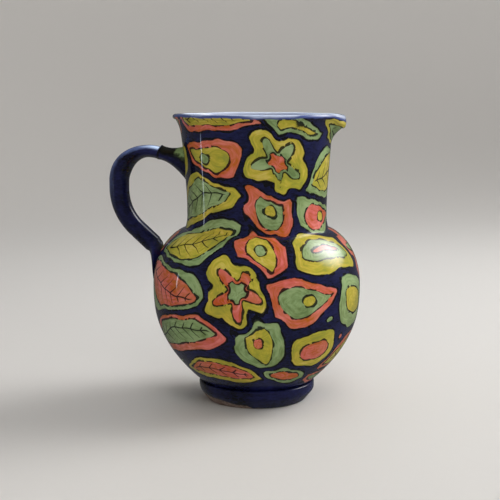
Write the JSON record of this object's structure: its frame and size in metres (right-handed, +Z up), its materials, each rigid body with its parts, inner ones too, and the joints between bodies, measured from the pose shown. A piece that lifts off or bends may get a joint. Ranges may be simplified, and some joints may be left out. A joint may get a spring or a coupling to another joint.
{
  "type": "pouring jug",
  "caption": "Round-bellied glazed earthenware pouring jug with a flared neck, beaded rim, pulled lip, strap handle and foot ring.",
  "frame": {"origin": "centre of the foot ring's underside, on the jug's axis, in the plane that it stands on", "axes": "+Z up along the jug's axis, +X towards the pouring lip, -X towards the handle, +Y to the left of someone looking along +X"},
  "size_m": [0.1761, 0.1446, 0.2],
  "materials": {
    "painted_glaze": "glossy cobalt glaze over earthenware, brushed with coral, green and yellow shapes outlined in black",
    "cobalt_glaze": "glossy plain cobalt glaze",
    "white_glaze": "glossy pale blue-white tin glaze"
  },
  "bodies": {
    "root": {"foot_ring": "cobalt_glaze", "belly": "painted_glaze", "neck": "painted_glaze", "pouring_lip": "painted_glaze", "handle_root": "painted_glaze", "handle": "cobalt_glaze", "handle_tail": "cobalt_glaze", "glaze_lining": "white_glaze"}
  },
  "joints": []
}
